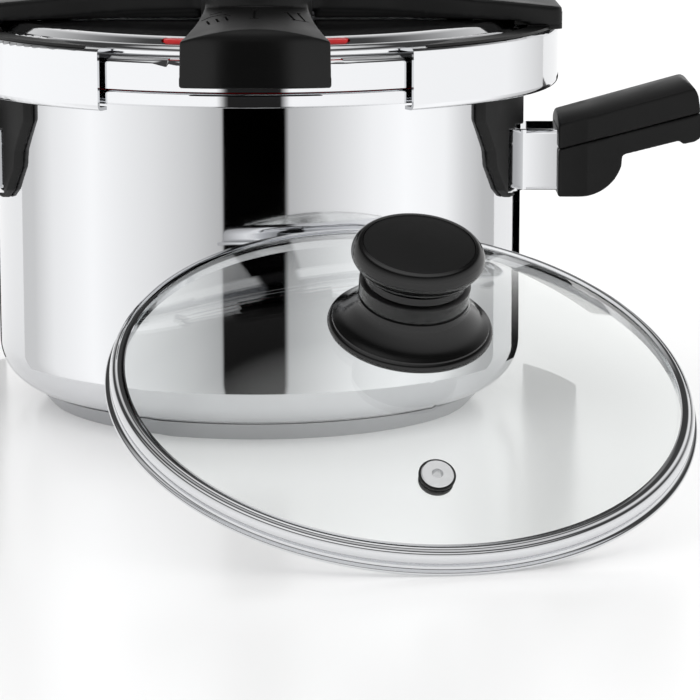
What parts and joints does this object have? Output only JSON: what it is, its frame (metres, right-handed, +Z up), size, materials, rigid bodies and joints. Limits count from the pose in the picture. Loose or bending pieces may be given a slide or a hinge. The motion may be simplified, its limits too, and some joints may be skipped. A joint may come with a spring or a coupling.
{
  "type": "stovetop pressure cooker",
  "caption": "Polished steel pressure cooker with sliding jaw lock under a black bridge, front pressure arm, two side grips, and its second lid of clear glass leaning on the wall",
  "frame": {"origin": "centre of the pot's flat base, on the hob", "axes": "+Z up, +X to the right seen from the front, -Y the front with the pressure arm and the leaning glass lid"},
  "size_m": [0.3738, 0.4307, 0.2028],
  "materials": {
    "polished_steel": "mirror-polished stainless sheet",
    "base_steel": "satin-turned stainless skin",
    "core_aluminium": "pressed aluminium",
    "black_phenolic": "satin black phenolic moulding",
    "gloss_black": "glossy black phenolic moulding",
    "grey_cap": "satin grey moulding",
    "red_silicone": "moulded silicone",
    "black_rubber": "moulded silicone",
    "stamped_steel": "stamped sheet, mill finish",
    "turned_steel": "turned and polished",
    "brass": "turned brass",
    "red_plastic": "moulded",
    "clear_glass": "tempered clear glass"
  },
  "bodies": {
    "cooker": {"pot_body": "polished_steel", "base_cap": "base_steel", "base_core": "core_aluminium", "grip_screws": "turned_steel", "lid_shell": "polished_steel", "gasket": "red_silicone", "crossbar": "black_phenolic", "bar_screws": "turned_steel", "lid_studs": "turned_steel", "guide_bridges": "stamped_steel", "spindle": "turned_steel", "spindle_screw": "turned_steel", "front_arm": "black_phenolic", "valve_body": "turned_steel", "valve_nut": "turned_steel", "valve_spring": "turned_steel", "indicator_housing": "turned_steel", "indicator_nut": "turned_steel", "safety_body": "turned_steel", "safety_nut": "turned_steel", "safety_spring": "turned_steel", "safety_plug": "turned_steel", "handle_bracket_right": "polished_steel", "foot_cover_right_front": "black_phenolic", "foot_cover_right_rear": "black_phenolic", "grip_upper_right": "black_phenolic", "grip_lower_right": "black_phenolic", "handle_bracket_left": "polished_steel", "foot_cover_left_front": "black_phenolic", "foot_cover_left_rear": "black_phenolic", "grip_upper_left": "black_phenolic", "grip_lower_left": "black_phenolic"},
    "jaw_right": {"jaw_right": "polished_steel", "jaw_carrier_right": "black_phenolic", "slide_arm_right": "stamped_steel", "cam_pin_right": "turned_steel", "carrier_screws_right": "turned_steel"},
    "jaw_left": {"jaw_left": "polished_steel", "jaw_carrier_left": "black_phenolic", "slide_arm_left": "stamped_steel", "cam_pin_left": "turned_steel", "carrier_screws_left": "turned_steel"},
    "opening_knob": {"opening_knob": "black_phenolic", "knob_cap": "grey_cap", "cam_plate": "stamped_steel"},
    "selector_dial": {"selector_dial": "black_phenolic"},
    "valve_piston": {"valve_piston": "brass"},
    "indicator": {"indicator_pin": "red_plastic", "indicator_seal": "red_silicone"},
    "safety_poppet": {"safety_poppet": "brass"},
    "glass_lid": {"glass_dome": "clear_glass", "glass_band": "polished_steel", "glass_knob_base": "gloss_black", "glass_knob_top": "black_phenolic", "glass_knob_screw": "turned_steel", "glass_knob_washer": "black_rubber", "vent_grommet": "black_rubber", "vent_eyelet": "turned_steel"}
  },
  "joints": [
    {"name": "knob_turn", "type": "hinge", "parent": "cooker", "child": "opening_knob", "pos_m": [0, 0, 0.185], "axis": [0, 0, 1], "range_deg": [0, 90.6]},
    {"name": "jaw_right_slide", "type": "slide", "parent": "cooker", "child": "jaw_right", "axis": [1, 0, 0], "range_m": [0, 0.009]},
    {"name": "jaw_left_slide", "type": "slide", "parent": "cooker", "child": "jaw_left", "axis": [-1, 0, 0], "range_m": [0, 0.0091]},
    {"name": "dial_turn", "type": "hinge", "parent": "cooker", "child": "selector_dial", "pos_m": [0, -0.059, 0.18], "axis": [0, 0, 1], "range_deg": [-35, 35]},
    {"name": "valve_lift", "type": "slide", "parent": "cooker", "child": "valve_piston", "axis": [0, 0, 1], "range_m": [0, 0.0025], "stiffness_N_per_m": 600, "springref_m": -0.0015, "deforming": ["valve_spring"]},
    {"name": "indicator_rise", "type": "slide", "parent": "cooker", "child": "indicator", "axis": [0, 0, 1], "range_m": [0, 0.0043]},
    {"name": "safety_lift", "type": "slide", "parent": "cooker", "child": "safety_poppet", "axis": [0, 0, 1], "range_m": [0, 0.0015], "stiffness_N_per_m": 800, "springref_m": -0.0015, "deforming": ["safety_spring"]},
    {"name": "glass_lid_lift", "type": "slide", "parent": "cooker", "child": "glass_lid", "axis": [0.1745, -0.8003, 0.5736], "range_m": [0, 0.12]}
  ],
  "couplings": [
    {"joint": "knob_turn", "follows": "jaw_right_slide", "rad_per_m": 174.53},
    {"joint": "jaw_left_slide", "follows": "jaw_right_slide", "ratio": 1}
  ]
}
